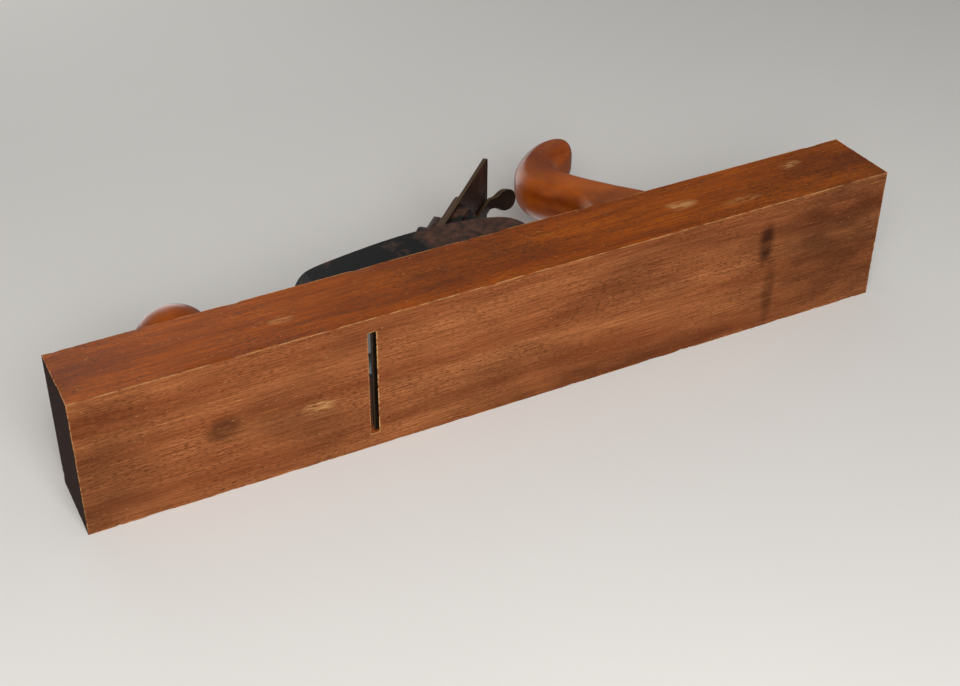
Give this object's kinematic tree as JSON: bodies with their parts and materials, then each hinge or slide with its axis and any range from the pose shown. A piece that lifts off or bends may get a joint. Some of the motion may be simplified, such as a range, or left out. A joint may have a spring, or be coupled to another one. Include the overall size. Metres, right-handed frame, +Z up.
{
  "type": "bench plane",
  "caption": "Wood-bottomed fore plane: worn beech stock, rusty japanned frame and frog, steel cutter with lever cap, varnished knob and tote",
  "frame": {"origin": "middle of the sole, on the sole's face", "axes": "+X towards the toe, +Y to the left side as the user pushes it, +Z up from the sole"},
  "size_m": [0.457, 0.078, 0.164],
  "materials": {
    "beech": "worn oiled beech",
    "varnished_beech": "old glossy varnish",
    "japanned_iron": "worn black japan over rust",
    "brown_iron": "brown rust patina",
    "patina_steel": "dark brown patina on steel",
    "aged_brass": "dull aged brass"
  },
  "bodies": {
    "plane": {"stock": "beech", "frame": "japanned_iron", "frame_screws": "patina_steel", "frog": "japanned_iron", "frog_screws": "patina_steel", "frog_washers": "patina_steel", "adjuster_stud": "patina_steel", "yoke_pin": "patina_steel", "lateral_pin": "patina_steel", "lever_cap_screw": "patina_steel", "knob": "varnished_beech", "knob_bolt": "patina_steel", "knob_nut": "aged_brass", "tote": "varnished_beech", "tote_rod": "patina_steel", "tote_nut": "aged_brass", "tote_screw": "patina_steel"},
    "depth_nut": {"adjusting_nut": "aged_brass"},
    "depth_yoke": {"yoke": "brown_iron"},
    "cutting_unit": {"cutter": "patina_steel", "cap_iron": "patina_steel", "cap_iron_screw": "patina_steel"},
    "lateral": {"lateral_lever": "patina_steel", "roller_rivet": "patina_steel"},
    "roller": {"lateral_roller": "patina_steel"},
    "cap": {"lever_cap": "japanned_iron", "cam_pin": "patina_steel", "cap_spring": "patina_steel", "spring_rivet": "patina_steel"},
    "cam": {"cam_lever": "brown_iron"}
  },
  "joints": [
    {"name": "nut_spin", "type": "hinge", "parent": "plane", "child": "depth_nut", "pos_m": [-0.025, 0, 0.0625], "axis": [1, 0, 0], "range_deg": [0, 720]},
    {"name": "yoke_rock", "type": "hinge", "parent": "plane", "child": "depth_yoke", "pos_m": [-0.01407, 0, 0.07597], "axis": [0, 1, 0], "range_deg": [0, 8.3]},
    {"name": "cutter_feed", "type": "slide", "parent": "plane", "child": "cutting_unit", "axis": [0.7071, 0, -0.7071], "range_m": [0, 0.00166]},
    {"name": "lateral_swing", "type": "hinge", "parent": "plane", "child": "lateral", "pos_m": [-0.01693, 0, 0.09263], "axis": [0.7071, 0, 0.7071], "range_deg": [-8, 8]},
    {"name": "roller_spin", "type": "hinge", "parent": "lateral", "child": "roller", "pos_m": [-0.00986, 0, 0.08556], "axis": [0.7071, 0, 0.7071], "continuous": true},
    {"name": "cap_slide", "type": "slide", "parent": "plane", "child": "cap", "axis": [-0.7071, 0, 0.7071], "range_m": [0, 0.01]},
    {"name": "cam_open", "type": "hinge", "parent": "cap", "child": "cam", "pos_m": [0.00534, 0, 0.08662], "axis": [0, 1, 0], "range_deg": [0, 100]}
  ],
  "couplings": [
    {"joint": "nut_spin", "follows": "cutter_feed", "rad_per_m": 7575.8},
    {"joint": "yoke_rock", "follows": "cutter_feed", "rad_per_m": 86.212}
  ]
}
